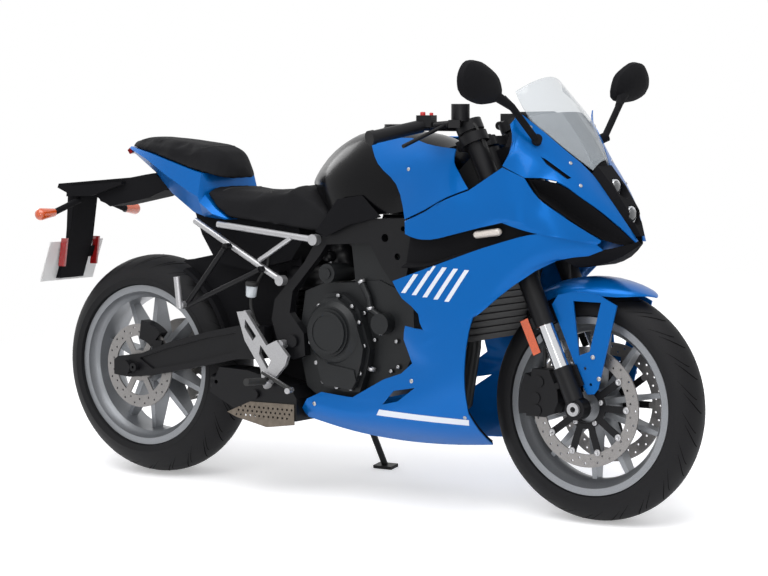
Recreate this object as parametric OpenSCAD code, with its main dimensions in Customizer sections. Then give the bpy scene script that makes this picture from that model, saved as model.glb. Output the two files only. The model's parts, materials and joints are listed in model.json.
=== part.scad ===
/* [Object] */
// Which sub-part to show, or all of them

/* [Chassis sizes, mm] */
// Distance between the two axles
wheelbase = 1465; // [1430:5:1500]
// Lean to the left on the side stand, degrees
lean = 9; // [6:0.5:13]
// Steering axis angle back from vertical, degrees
rake = 25; // [24:0.25:26]
// Fork legs ahead of the steering axis
fork_offset = 32.5; // [28:0.5:37]
// Half of the distance between the fork legs
fork_half = 105; // [103:1:108]
// Swingarm pivot height
pivot_z = 423; // [413:1:433]

/* [Wheels, mm] */
// Front tyre outside diameter
front_dia = 600; // [588:1:606]
// Front tyre width
front_width = 120; // [114:1:122]
// Rear tyre outside diameter
rear_dia = 630; // [614:1:640]
// Rear tyre width
rear_width = 180; // [172:1:186]
// Bead seat diameter of both rims
bead_dia = 432; // [430:0.5:434]
// Front axle hollow radius
axle_bore_r = 7.5; // [5:0.5:9]
// Axle outside radius
axle_r = 12.5; // [11:0.5:15]
// Running clearance of a hub on its axle
run_gap = 0.05; // [0.02:0.01:0.1]
// Front brake disc outside diameter
front_disc_dia = 310; // [296:1:316]
// Rear brake disc outside diameter
rear_disc_dia = 240; // [226:1:250]
// Spoke pairs in each wheel
spoke_pairs = 5; // [3:1:7]

/* [Bodywork, mm] */
// Fairing panel thickness
skin = 3; // [2:0.5:5]
// Seat pad edge gap to the bodywork
seat_gap = 1; // [0.5:0.5:4]

/* [Hidden] */
$fn = 64;
base_rake = 25;
head_x = 732.5;
head_z = 300;
axle_fz = front_dia / 2;
axle_fx = head_x - (axle_fz - head_z) * tan(rake);
axle_up = (axle_fz - head_z) / cos(rake);
axle_rx = head_x - wheelbase;
axle_rz = rear_dia / 2;
pivot_x = -148;
base_arm = 584.5;
crown_f = 61;
crown_r = 93;
bead_r = bead_dia / 2;
shift_x = 34.5;
shift_y = -177;
lift = crown_r * (1 - cos(lean));
stem_r = 15;
leg_r = 27;
tube_r = 21.5;

// Upright bike frame (X forward, Y left, Z up, ground below mid wheelbase) to the parked, leaning frame
module park() { translate([shift_x, shift_y, lift]) rotate([-lean, 0, 0]) children(); }
module flip() { mirror([0, 1, 0]) children(); }
module both() { children(); flip() children(); }
// Outline in the XZ plane, from y0 to y1
module side_plate(y0, y1) { translate([0, y1, 0]) rotate([90, 0, 0]) linear_extrude(y1 - y0) children(); }
module rod(a, b, r) {
  d = b - a;
  translate(a) rotate([0, acos(d[2] / norm(d)), atan2(d[1], d[0])]) cylinder(h = norm(d), r = r, $fn = 24);
}
module tube_path(pts, r) {
  for (i = [0:len(pts) - 2]) rod(pts[i], pts[i + 1], r);
  if (len(pts) > 2) for (i = [1:len(pts) - 2]) translate(pts[i]) sphere(r = r + 0.3, $fn = 24);
}
module axle_y(x, z, y0, y1, r) { translate([x, y1, z]) rotate([90, 0, 0]) cylinder(h = y1 - y0, r = r); }
// Frame of a fork leg: origin on the axle of a 600 mm tyre, Z up the leg
module leg_frame() { translate([head_x, 0, head_z]) rotate([0, -rake, 0]) children(); }
module stem_frame() { leg_frame() translate([-fork_offset, 0, 0]) children(); }
function stem_pt(x, y, h) = [head_x + (x - fork_offset) * cos(rake) - h * sin(rake), y,
  head_z + (x - fork_offset) * sin(rake) + h * cos(rake)];
function stem_xz(x, h) = [stem_pt(x, 0, h)[0], stem_pt(x, 0, h)[2]];
// Pieces drawn where a 25 degree head has them, turned with the head
module head_frame() { translate([head_x, 0, head_z]) rotate([0, base_rake - rake, 0]) translate([-head_x, 0, -head_z]) children(); }
// Pieces drawn round a 600 mm front wheel, moved with its axle
module front_frame() { translate([axle_fx - head_x, 0, axle_fz - head_z]) children(); }
// Swingarm outline point, stretched between the pivot and the rear axle
function arm_pt(p) = let(t = (pivot_x - p[0]) / base_arm)
  [pivot_x - t * (pivot_x - axle_rx), p[1] + t * (axle_rz - 315) + (1 - t) * (pivot_z - 423)];
function arm_line(ps) = [for (p = ps) arm_pt(p)];

// Smooth curve through points, n steps a span; it stays sharp at the listed points
function listed(i, sharp) = len([for (e = sharp) if (e == i) e]) > 0;
function corner(v, i, sharp) = i == 0 || i == len(v) - 1 || listed(i, sharp);
function mid_slope(v, i) = let(a = v[i] - v[i - 1], b = v[i + 1] - v[i], h = max(norm(a), 0.01), k = max(norm(b), 0.01))
  (a * k / h + b * h / k) / (h + k);
function slope(v, i, j, sharp) = !corner(v, i, sharp) ? mid_slope(v, i)
  : let(d = (j - i) * (v[j] - v[i]) / max(norm(v[j] - v[i]), 0.01)) corner(v, j, sharp) ? d : 1.5 * d - 0.5 * mid_slope(v, j);
function curve(v, n, sharp = []) = concat([for (i = [0:len(v) - 2]) let(
  k = norm(v[i + 1] - v[i]), m = slope(v, i, i + 1, sharp) * k, q = slope(v, i + 1, i, sharp) * k)
  for (e = [0:n - 1]) let(t = e / n, u = 1 - t)
    (1 + 2 * t) * u * u * v[i] + t * u * u * m + t * t * (3 - 2 * t) * v[i + 1] - t * t * u * q], [v[len(v) - 1]]);
function turned(g) = [for (j = [0:len(g[0]) - 1]) [for (r = g) r[j]]];
function smooth(g, nr, nc, sr = [], sc = []) =
  turned([for (c = turned([for (r = g) curve(r, nc, sc)])) curve(c, nr, sr)]);

// Panel of even thickness from rows of outer points, each row from its upper to its lower edge
function unit(v) = v / max(norm(v), 0.001);
function grid_normal(g, i, j, s) = let(
  a = g[min(i + 1, len(g) - 1)][j] - g[max(i - 1, 0)][j],
  b = g[i][min(j + 1, len(g[0]) - 1)] - g[i][max(j - 1, 0)]) s * unit(cross(a, b));
module panel(g, t = skin, s = 1) {
  n = len(g); m = len(g[0]); k = n * m;
  outer = [for (i = [0:n - 1]) for (j = [0:m - 1]) g[i][j]];
  inner = [for (i = [0:n - 1]) for (j = [0:m - 1]) g[i][j] - t * grid_normal(g, i, j, s)];
  function q(a, b, c, d) = s > 0 ? [[a, b, c], [a, c, d]] : [[a, c, b], [a, d, c]];
  faces = concat(
    [for (i = [0:n - 2]) for (j = [0:m - 2]) for (f = q(i*m+j, i*m+j+1, (i+1)*m+j+1, (i+1)*m+j)) f],
    [for (i = [0:n - 2]) for (j = [0:m - 2]) for (f = q(k+i*m+j, k+(i+1)*m+j, k+(i+1)*m+j+1, k+i*m+j+1)) f],
    [for (i = [0:n - 2]) for (f = q(i*m, (i+1)*m, k+(i+1)*m, k+i*m)) f],
    [for (i = [0:n - 2]) for (f = q(i*m+m-1, k+i*m+m-1, k+(i+1)*m+m-1, (i+1)*m+m-1)) f],
    [for (j = [0:m - 2]) for (f = q(j, k+j, k+j+1, j+1)) f],
    [for (j = [0:m - 2]) for (f = q((n-1)*m+j, (n-1)*m+j+1, k+(n-1)*m+j+1, k+(n-1)*m+j)) f]);
  polyhedron(points = concat(outer, inner), faces = faces);
}
// Closed body through rings of points, each ring the same length
module loft(rings, s = 1) {
  n = len(rings); m = len(rings[0]);
  function q(a, b, c, d) = s > 0 ? [[a, b, c], [a, c, d]] : [[a, c, b], [a, d, c]];
  polyhedron(points = [for (r = rings) each r], faces = concat(
    [for (i = [0:n - 2]) for (j = [0:m - 1]) for (f = q(i*m+j, i*m+(j+1)%m, (i+1)*m+(j+1)%m, (i+1)*m+j)) f],
    [s > 0 ? [for (j = [m - 1:-1:0]) j] : [for (j = [0:m - 1]) j]],
    [s > 0 ? [for (j = [0:m - 1]) (n-1)*m+j] : [for (j = [m - 1:-1:0]) (n-1)*m+j]]));
}

// Tyre section: round crown, side walls in to the beads
module tyre(dia, width, crown, bead_half) {
  rc = dia / 2 - crown;
  rotate([90, 0, 0]) rotate_extrude($fn = 96) polygon(concat(
    [for (a = [-74:9.25:74]) [rc + crown * cos(a), crown * sin(a)]],
    [[bead_r + 34, width / 2], [bead_r + 18, width / 2 - 4], [bead_r + 15, bead_half], [bead_r, bead_half], [bead_r, bead_half - 12],
     [bead_r + 22, bead_half - 4], [bead_r + 44, width * 0.3], [dia / 2 - 14, 0],
     [bead_r + 44, -width * 0.3], [bead_r + 22, -bead_half + 4], [bead_r, -bead_half + 12], [bead_r, -bead_half],
     [bead_r + 15, -bead_half], [bead_r + 18, -width / 2 + 4], [bead_r + 34, -width / 2]]));
}
// Cast rim: barrel with flanges, spokes in converging pairs and hub; turn is the angle of the first pair
module rim(flange_half, hub_r, hub_half, spoke_w, turn) {
  bh = flange_half - 6;
  rotate([90, 0, 0]) rotate_extrude($fn = 96) polygon([
    [bead_r, bh - 12], [bead_r, bh], [bead_r + 14, bh], [bead_r + 14, bh + 5], [bead_r - 4, bh + 5], [bead_r - 8, bh - 8],
    [bead_r - 22, bh - 24], [bead_r - 26, 10], [bead_r - 26, -10], [bead_r - 22, -bh + 24], [bead_r - 8, -bh + 8],
    [bead_r - 4, -bh - 5], [bead_r + 14, -bh - 5], [bead_r + 14, -bh], [bead_r, -bh], [bead_r, -bh + 12],
    [bead_r - 12, -bh + 18], [bead_r - 18, -bh + 28], [bead_r - 18, bh - 28], [bead_r - 12, bh - 18]]);
  rotate([90, 0, 0]) intersection() {
    rotate_extrude() polygon([[hub_r - 4, -hub_half * 0.6], [bead_r - 24, -15], [bead_r - 24, 15], [hub_r - 4, hub_half * 0.6]]);
    union() for (k = [0:spoke_pairs - 1]) for (s = [-1, 1])
      translate([0, 0, -hub_half]) linear_extrude(2 * hub_half) rotate(k * 360 / spoke_pairs + turn)
        polygon([[hub_r - 8, s * 6], [hub_r - 8, s * (10 + spoke_w)], [bead_r - 20, s * (52 + spoke_w * 0.5)], [bead_r - 20, s * (52 - spoke_w * 0.5)]]);
  }
  rotate([90, 0, 0]) difference() {
    cylinder(h = 2 * hub_half, r = hub_r, center = true);
    cylinder(h = 2 * hub_half + 2, r = axle_r + run_gap, center = true);
  }
}
// Drilled brake disc ring at the origin, in the XZ plane, centred on y
module disc_ring(r_out, width, thick, holes) {
  rotate([90, 0, 0]) difference() {
    cylinder(h = thick, r = r_out, center = true, $fn = 96);
    cylinder(h = thick + 2, r = r_out - width, center = true, $fn = 96);
    for (k = [0:holes - 1]) rotate(k * 360 / holes) translate([r_out - width * (k % 2 == 0 ? 0.3 : 0.68), 0, 0])
      cylinder(h = thick + 2, r = 3, center = true, $fn = 16);
  }
}
module disc_carrier(r_in, r_out, thick, arms) {
  rotate([90, 0, 0]) difference() {
    union() {
      cylinder(h = thick, r = r_in + 12, center = true);
      for (k = [0:arms - 1]) rotate(k * 360 / arms) translate([0, -9, -thick / 2]) cube([r_out, 18, thick]);
    }
    cylinder(h = thick + 2, r = r_in, center = true);
  }
}

module front_tyre() { color("#202224") park() translate([axle_fx, 0, axle_fz]) tyre(front_dia, front_width, crown_f, 46); }
module front_rim() { color("#9a9da3") park() translate([axle_fx, 0, axle_fz]) rim(52, 42, 52, 13, -75.7); }
module front_discs() {
  color("#b4b5b6") park() translate([axle_fx, 0, axle_fz]) both() translate([0, -66, 0]) {
    disc_ring(front_disc_dia / 2, 34, 4.5, 48);
    disc_carrier(44, front_disc_dia / 2 - 33, 4.5, 10);
    for (k = [0:9]) rotate([0, k * 36, 0]) translate([front_disc_dia / 2 - 35, 0, 0]) rotate([90, 0, 0]) cylinder(h = 7.5, r = 9, center = true, $fn = 24);
    rotate([90, 0, 0]) translate([0, 0, -14]) difference() {
      cylinder(h = 14, r = 52);
      translate([0, 0, -1]) cylinder(h = 17, r = 40);
    }
  }
}
module front_axle() {
  color("#77797c") park() translate([axle_fx, 0, axle_fz]) rotate([90, 0, 0]) difference() {
    union() {
      cylinder(h = 2 * fork_half + 46, r = axle_r, center = true);
      for (s = [-1, 1]) translate([0, 0, s * (fork_half + 22.5)]) cylinder(h = 8, r = 17, center = true, $fn = 24);
    }
    cylinder(h = 2 * fork_half + 60, r = axle_bore_r, center = true);
  }
}
module fork_leg() {
  leg_frame() translate([0, -fork_half, 0]) {
    translate([0, 0, 228]) cylinder(h = 552, r = leg_r);
    translate([0, 0, 90]) cylinder(h = 140, r = tube_r);
    difference() {
      union() {
        translate([0, 0, axle_up + 20]) cylinder(h = 92 - axle_up, r = 25);
        translate([0, 0, axle_up]) rotate([90, 0, 0]) cylinder(h = 36, r = 28, center = true);
        translate([-34, -8, 66]) cube([18, 16, 16]);
        translate([14, 8, 50]) cube([22, 4.7, 56]);
      }
      translate([0, 0, axle_up]) rotate([90, 0, 0]) cylinder(h = 60, r = axle_r, center = true);
    }
    translate([-46, -18, 232]) cube([34, 5, 26]);
    translate([-54, -22, 168]) cube([24, 6, 94]);
  }
}
module fork_legs() { color("#1b1c1e") park() both() fork_leg(); }
module clamp_plate(z, t) {
  translate([0, 0, z]) difference() {
    union() {
      translate([-24, -70, 0]) cube([44, 140, t]);
      both() translate([fork_offset, -fork_half, 0]) cylinder(h = t, r = leg_r + 11);
      both() translate([-20, -fork_half - 8, 0]) cube([52, 50, t]);
      cylinder(h = t, r = 30);
    }
    both() translate([fork_offset, -fork_half, -1]) cylinder(h = t + 2, r = leg_r);
  }
}
module triple_clamps() {
  color("#202225") park() stem_frame() {
    clamp_plate(548, 34);
    clamp_plate(736, 26);
    translate([0, 0, 560]) cylinder(h = 200, r = stem_r);
    translate([0, 0, 760]) cylinder(h = 8, r = 20);
  }
}
grip_a = [330, -222, 1013];
grip_b = [277, -372, 985];
module handlebar() {
  difference() {
    union() {
      leg_frame() translate([0, -fork_half, 769]) cylinder(h = 28, r = leg_r + 9);
      head_frame() {
        rod([360, -104, 1010], [326, -240, 1013], 11.5);
        rod(grip_a, grip_b, 17);
        rod(grip_b - 10 * unit(grip_b - grip_a), grip_b + 4 * unit(grip_b - grip_a), 19);
        translate([335, -205, 1026]) rotate([0, 0, 14]) cube([40, 46, 30], center = true);
        rod([345, -205, 1014], [386, -163, 1019], 9);
        rod([376, -171, 1018], [354, -338, 964], 5);
      }
    }
    leg_frame() translate([0, -fork_half, 700]) cylinder(h = 100, r = leg_r);
  }
}
module brake_master() {
  head_frame() {
    translate([394, -136, 1026]) cylinder(h = 44, r = 24);
    translate([388, -148, 1019]) rotate([0, 0, 24]) cube([30, 62, 20], center = true);
  }
}
module handlebars() { color("#1a1b1d") park() { handlebar(); brake_master(); flip() handlebar(); } }
// Brake caliper round the disc edge, behind the fork leg
caliper = [[600, 394], [650, 394], [663.4, 367.1], [676.1, 339.9], [678, 312], [664, 282], [640, 272], [583, 272], [580, 306], [592, 346]];
module caliper() {
  translate([axle_fx, 0, axle_fz]) {
    difference() {
      union() {
        translate([-head_x, 0, -head_z]) side_plate(-113, -44) polygon(caliper);
        rotate([90, 0, 0]) translate([0, 0, 46]) rotate(152) rotate_extrude(angle = 36, $fn = 96) translate([146, 0]) square([28, 65]);
      }
      translate([0, -66, 0]) rotate([90, 0, 0]) cylinder(h = 14.5, r = front_disc_dia / 2 + 5, center = true);
    }
    for (p = [[-112, 62], [-122, 20], [-118, -12]]) translate([p[0], -113, p[1]]) rotate([90, 0, 0]) cylinder(h = 3, r = 15);
  }
}
module front_calipers() { color("#191a1c") park() both() caliper(); }
// Front fender: shell rows by angle, half width and how far its edges drop
fender_rows = [[59.5, 5, 1], [62, 30, 5], [66, 56, 16], [72, 76, 30], [82, 86, 40], [94, 88, 43], [104, 88, 43], [107, 75, 40], [122, 73, 38]];
fender_r = 331;
function fender_pt(a, y, r) = [head_x + r * cos(a), y, head_z + r * sin(a)];
function fender_ring(f) = [for (c = [[-1, 1], [-0.94, 0.62], [-0.6, 0.16], [0, 0], [0.6, 0.16], [0.94, 0.62], [1, 1]])
  fender_pt(f[0], c[0] * f[1], fender_r - c[1] * f[2])];
fender_leg = [[646, 560], [664, 586], [720, 596], [780, 592], [836, 566], [784, 352], [772, 338], [752, 336], [745, 346]];
fender_window = [[709, 572], [790, 572], [758, 446], [727, 434]];
module front_fender() {
  color("#1769c4") park() head_frame() front_frame() {
    panel(smooth([for (f = fender_rows) fender_ring(f)], 2, 2), skin, -1);
    both() difference() {
      side_plate(-92, -88) polygon(fender_leg);
      side_plate(-98, -80) polygon(fender_window);
      axle_y(762, 362, -98, -80, 4);
      axle_y(745, 402, -98, -80, 4);
    }
  }
}

// Rear wheel
module rear_tyre() { color("#202224") park() translate([axle_rx, 0, axle_rz]) tyre(rear_dia, rear_width, crown_r, 72); }
module rear_rim() { color("#9a9da3") park() translate([axle_rx, 0, axle_rz]) rim(78, 50, 77.7, 14, -38); }
module rear_disc() {
  color("#b4b5b6") park() translate([axle_rx, -96, axle_rz]) {
    disc_ring(rear_disc_dia / 2, 34, 5, 36);
    disc_carrier(32, rear_disc_dia / 2 - 33, 5, 6);
    rotate([90, 0, 0]) translate([0, 0, -18]) difference() { cylinder(h = 18, r = 43); translate([0, 0, -1]) cylinder(h = 20, r = 34); }
  }
}
teeth_rear = 46;
chain_pitch = 15.875;
sprocket_r = chain_pitch / (2 * sin(180 / teeth_rear));
module rear_sprocket() {
  color("#8c8d90") park() translate([axle_rx, 102, axle_rz]) rotate([90, 0, 0]) difference() {
    union() {
      cylinder(h = 6, r = sprocket_r - 4, center = true, $fn = 96);
      translate([0, 0, 0]) cylinder(h = 24, r = 46);
    }
    cylinder(h = 60, r = 30, center = true);
    for (k = [0:7]) rotate(k * 45) translate([78, 0, 0]) cylinder(h = 10, r = 16, center = true, $fn = 24);
  }
}

// Frame and engine
pivot_plate = [[-60, 715], [-110, 640], [-211, 534], [-222, 480], [-196, 400], [-150, 372], [-108, 386], [-112, 446], [-160, 500], [-150, 560], [-56, 662], [-20, 712]];
front_plate = [[110, 764], [236, 770], [258, 738], [240, 650], [226, 592], [192, 592], [152, 640], [112, 702]];
plate_in = -114;
plate_out = -138;
module spar() {
  difference() {
    union() {
      side_plate(plate_out, plate_in) polygon(pivot_plate);
      loft([[[-48, -138, 690], [-48, -114, 690], [-26, -114, 762], [-26, -138, 762]],
            [[110, -140, 700], [110, -114, 700], [120, -114, 765], [120, -140, 765]],
            [[240, -138, 716], [240, -112, 716], [250, -110, 772], [250, -136, 772]],
            [stem_pt(-12, -52, 596), stem_pt(-12, -22, 596), stem_pt(-12, -22, 728), stem_pt(-12, -52, 728)]], -1);
      side_plate(-148, -134) polygon(front_plate);
    }
    axle_y(pivot_x, pivot_z, -200, -100, 12);
    axle_y(164, 716, -160, -120, 11);
    axle_y(204, 668, -160, -120, 9);
    axle_y(222, 742, -160, -120, 7);
  }
}
module frame() {
  color("#26282a") park() difference() {
    union() {
      both() spar();
      both() translate([86, -126, 750]) cylinder(h = 25.2, r = 9);
      stem_frame() translate([0, 0, 590]) cylinder(h = 140, r = 29);
      side_plate(-12, 12) polygon([stem_xz(20, 672), stem_xz(20, 716), [452, 960], [529.4, 1004], [524.1, 980], [470, 945], [448, 925]]);
    }
    stem_frame() translate([0, 0, 580]) cylinder(h = 160, r = stem_r + run_gap);
  }
}
rail_y = -149;
module rail() {
  rod([-67, rail_y, 703], [-404, rail_y + 6, 734], 9);
  rod([-180, rail_y, 588], [-500, rail_y + 24, 740], 9);
  rod([-145, rail_y, 706], [-255, rail_y, 640], 7);
  axle_y(-67, 703, -160, -138.3, 15);
  axle_y(-180, 588, -160, -138.3, 14);
}
module subframe() { color("#a9aaac") park() both() rail(); }
module undertail() {
  color("#18191b") park() side_plate(-96, 96)
    polygon([[-524, 761.7], [-521, 761.7], [-484, 753.7], [-476, 751.7], [-421, 747.7], [-374, 746.7], [-298, 744.7], [-200, 734.7],
      [-160, 730], [-150, 690], [-186, 640], [-330, 606], [-448, 624], [-500, 700]]);
}
cases = [[-140, 470], [-125, 560], [-60, 585], [40, 590], [120, 600], [230, 560], [235, 420], [190, 330], [110, 280], [-60, 262], [-120, 300], [-140, 380]];
block = [[40, 590.3], [26, 700], [70, 758], [214, 746], [284, 676], [230, 560.3], [120, 600.3]];
case_half = 112;
sprocket_x = -66;
sprocket_z = 436;
front_sprocket_r = 36;
module engine_cases() {
  color("#2a2c2e") park() {
    difference() {
      side_plate(-case_half, case_half) polygon(cases);
      axle_y(pivot_x, pivot_z, -200, 200, 40);
      translate([-150, 92, 350]) cube([146, 40, 152]);
    }
    axle_y(sprocket_x, sprocket_z, 91, 110, front_sprocket_r - 8);
  }
}
module cylinder_block() { color("#2a2c2e") park() {
  side_plate(-108, 108) polygon(block);
  both() { axle_y(86, 725, -113.7, -108, 20); axle_y(206, 722, -110.2, -108, 18); }
} }
// Clutch cover, starter, water pump and pipes, generator cover, with their bolts
clutch = [-3, 457];
cover = [[-99, 469], [-70, 522], [-37, 558], [10, 563], [39, 547], [72, 519], [90, 469], [108, 417], [102, 380], [92, 346], [75, 299],
  [29, 297], [-44, 306], [-58, 345], [-63, 387], [-81, 432]];
cover_bolts = [[-90, 424], [-70, 367], [-46, 315], [2, 302], [52, 301], [84, 346], [98, 424], [80, 490], [56, 534], [8, 562], [-60, 530]];
case_bolts = [[76, 510], [110, 440], [180, 440], [163, 359], [186, 372], [128, 320]];
function shrunk(ps, c, k) = [for (p = ps) c + k * (p - c)];
module bolt(p, y, size) { translate([p[0], y, p[1]]) rotate([90, 0, 0]) cylinder(h = 6, r = size, $fn = 24); }
module bolt_ring(x, z, y, r, count, size) {
  for (k = [0:count - 1]) bolt([x + r * cos(k * 360 / count), z + r * sin(k * 360 / count)], y, size);
}
module engine_covers() {
  color("#232527") park() {
    side_plate(-138, -112.3) polygon(cover);
    side_plate(-156, -138) polygon(shrunk(cover, [8, 430], 0.9));
    translate([clutch[0], -156, clutch[1]]) rotate([90, 0, 0]) {
      cylinder(h = 14, r1 = 84, r2 = 72);
      cylinder(h = 20, r = 64);
      difference() {
        cylinder(h = 26, r = 57);
        translate([0, 0, 24]) cylinder(h = 6, r = 48);
      }
    }
    side_plate(-160, -150) polygon([[-20, 372], [70, 360], [78, 330], [62, 306], [-30, 314]]);
    for (p = cover_bolts) bolt(shrunk([p], [8, 430], 0.95)[0], -138, 7);
    for (p = case_bolts) bolt(p, -112.3, 6.5);
    axle_y(-32, 613, -142, -30, 26);
    axle_y(-32, 613, -146, -142, 14);
    axle_y(144, 486, -146, -112.3, 28);
    tube_path([[136, -128, 470], [122, -128, 420], [104, -126, 352]], 9);
    tube_path([[66, -121, 600], [93, -121.5, 552], [100, -122, 520], [140, -124, 500]], 8.5);
    axle_y(110, 440, 112.3, 156, 82);
    axle_y(110, 440, 156, 168, 60);
    bolt_ring(110, 440, 162, 72, 8, 4.5);
    side_plate(112.3, 136) polygon([[-28, 380], [-96, 384], [-104, 420], [-104, 470], [-40, 512], [-28, 500]]);
    side_plate(112.3, 118) polygon([[-110, 345], [-128, 345], [-134.5, 316], [-134.5, 288], [-122, 284], [-100, 310]]);
    rod(stand_pivot - 22 * stand_axis, stand_pivot - 9.8 * stand_axis, 17);
    rod(stand_pivot - 12 * stand_axis, stand_pivot + 14 * stand_axis, 6);
    rod(stand_pivot + 10.4 * stand_axis, stand_pivot + 14 * stand_axis, 10);
  }
}
// Radiator: core, side tanks and rows of fins
module radiator() {
  color("#1d1e20") park() both() rod([440, -156, 655], [236, -154.4, 744], 6);
  color("#1d1e20") park() translate([425, 0, 560]) rotate([0, 15, 0]) {
    cube([22, 296, 220], center = true);
    both() translate([0, -156, 0]) cube([32, 20, 230], center = true);
    for (k = [-5:5]) translate([12, 0, k * 19]) cube([6, 294, 5], center = true);
  }
}
module exhaust_headers() {
  color("#8a7a68") park() {
    for (s = [-1, 1]) tube_path([[268.2, s * 48, 641.1], [308, s * 48, 623], [326, s * 46, 570], [322, s * 42, 420], [300, s * 36, 270],
      [215, s * 32, 206], s < 0 ? [60, -38, 204] : [52, -44, 209]], 19);
    tube_path([[64, -38, 206], [-20, -80, 222], [-70, -98, 238], [-123.7, -98, 238]], 25);
  }
}
muffler = [[-124, 206], [-124, 268], [-150, 302], [-290, 335], [-392, 338], [-428, 268], [-330, 222], [-200, 198]];
module silencer() {
  color("#1c1c1d") park() {
    difference() {
      side_plate(-156, -72) polygon(muffler);
      axle_y(-404, 296, -200, -100, 6);
    }
    axle_y(-262, 272, -166, -156, 12);
    rod([-410, -116, 290], [-440, -120, 292], 22);
  }
}
// Perforated shield under the silencer
shield = [[-362, 216], [-282, 250], [-130, 252], [-130, 196], [-200, 186], [-225, 183], [-330, 204]];
module heat_shield() {
  color("#8f7a60") park() difference() {
    side_plate(-159.4, -156.3) polygon(shield);
    for (r = [0:2]) for (k = [0:11]) axle_y(-330 + k * 16 + r * 8, 212 + r * 12, -165, -150, 3.2);
    axle_y(-262, 272, -170, -150, 12.4);
  }
}
module rear_shock() {
  color("#3a3c3e") park() {
    rod([-236, 0, 596], [-250, 0, 470], 10);
    rod([-246, 0, 500], [-254, 0, 420], 22);
    for (k = [0:6]) rod([-237.5 - k * 1.4, 0, 584 - k * 18], [-238.2 - k * 1.4, 0, 576 - k * 18], 34);
    rod([-236, -96.3, 596], [-236, 96.3, 596], 10);
  }
}
module swing_side() {
  difference() {
    union() {
      side_plate(-148, -112) polygon(arm_line([[-785, 335], [-768, 345], [-682, 358], [-585, 394], [-440, 433], [-332, 456],
        [-240, 458], [-240, 370], [-338, 362], [-474, 332], [-642, 297], [-728, 287], [-785, 292]]));
      side_plate(-96, -66) polygon(arm_line([[-345, 448], [-200, 460], [-130, 452], [-110, 423], [-130, 394], [-200, 376], [-345, 374]]));
    }
    side_plate(-160, -142) polygon(arm_line([[-690, 344], [-585, 378], [-440, 416], [-340, 436], [-340, 384], [-474, 350], [-640, 316]]));
    axle_y(axle_rx, axle_rz, -200, -100, axle_r);
    axle_y(pivot_x, pivot_z, -200, -40, 11.9);
  }
}
arm_mid = arm_pt([-304, 410]);
module swingarm() {
  color("#1c1d1f") park() {
    both() swing_side();
    translate([arm_mid[0] - 41, -114, arm_mid[1] - 34]) cube([60, 228, 66]);
    translate([arm_mid[0] + 10, -20, arm_mid[1] - 8]) cube([17.7, 40, 30]);
    axle_y(axle_rx, axle_rz, -162, 162, axle_r);
    axle_y(axle_rx, axle_rz, -166, -148, 20);
    axle_y(axle_rx, axle_rz, 148, 166, 20);
    axle_y(pivot_x, pivot_z, -113.7, 113.7, 19);
    axle_y(pivot_x, pivot_z, -144, 144, 11.9);
    both() axle_y(pivot_x, pivot_z, -146, -138.3, 17);
    both() translate([spool[0], 0, spool[1]]) rotate([90, 0, 0]) difference() {
      translate([0, 0, 140]) cylinder(h = 26, r = 12);
      translate([0, 0, 148]) cylinder(h = 30, r = 4);
    }
  }
}
spool = arm_pt([-700, 318]);
// Chain round both sprockets, its outer plates spaced along the two straight runs
chain_y = 104;
run_turn = asin((sprocket_r - 4 - front_sprocket_r) / norm([axle_rx - sprocket_x, axle_rz - sprocket_z]));
run_lie = atan2(sprocket_z - axle_rz, sprocket_x - axle_rx);
module chain_shape(extra) {
  hull() {
    translate([axle_rx, axle_rz]) circle(r = sprocket_r - 4 + extra);
    translate([sprocket_x, sprocket_z]) circle(r = front_sprocket_r + extra);
  }
}
module drive_chain() {
  color("#6b6c6e") park() {
    difference() {
      side_plate(chain_y - 4, chain_y + 4) chain_shape(9);
      side_plate(chain_y - 6, chain_y + 6) chain_shape(0.3);
    }
    for (s = [-1, 1]) for (k = [1:19]) translate([axle_rx, chain_y, axle_rz]) rotate([0, -(run_lie + s * run_turn * -1), 0])
      translate([k * 2 * chain_pitch, 0, s * (sprocket_r - 4 + 4.6)]) cube([12, 14, 8.4], center = true);
  }
}
module rear_hugger() {
  color("#18191b") park() both() translate([axle_rx + 304, 90, axle_rz + 70]) cube([24, 21.6, 22]);
  color("#18191b") park() translate([axle_rx, 0, axle_rz]) rotate([90, 0, 0]) rotate(10) rotate_extrude(angle = 50, $fn = 96)
    polygon(concat([for (p = hugger_sec) p], [for (i = [len(hugger_sec) - 1:-1:0]) [hugger_sec[i][0] - 3, hugger_sec[i][1] * 0.97]]));
}
hugger_sec = [for (p = [[8, 94], [16, 88], [20, 0], [16, -88], [8, -94]]) [rear_dia / 2 + p[0], p[1]]];
module rear_caliper() {
  color("#191a1c") park() difference() {
    union() {
      translate([axle_rx, -111.7, axle_rz]) rotate([90, 0, 0]) mirror([0, 0, 1]) rotate(48) rotate_extrude(angle = 34, $fn = 96)
        polygon([[rear_disc_dia / 2 - 40, 0], [rear_disc_dia / 2 + 14, 0], [rear_disc_dia / 2 + 14, 34], [rear_disc_dia / 2 - 40, 34]]);
      translate([axle_rx, -111.7, axle_rz]) rotate([90, 0, 0]) mirror([0, 0, 1]) linear_extrude(7.5)
        polygon([[60, 30], [84, 24], [96, 78], [60, 78]]);
    }
    axle_y(axle_rx, axle_rz, -103.8, -88, rear_disc_dia / 2 + 5);
  }
}

// Tank, seats and tail
// Line that the tank's tail and the seat's nose share, seen from the side
function tank_line(x) = 848 - 0.4565 * (x + 183);
function tank_sec(x, zb, wb, zm, wm, zt, wt, zc) =
  [[x, -wb, zb], [x, -wm, zm], [x, -wt, zt], [x, -wt * 0.4, zc], [x, wt * 0.4, zc], [x, wt, zt], [x, wm, zm], [x, wb, zb]];
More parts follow.
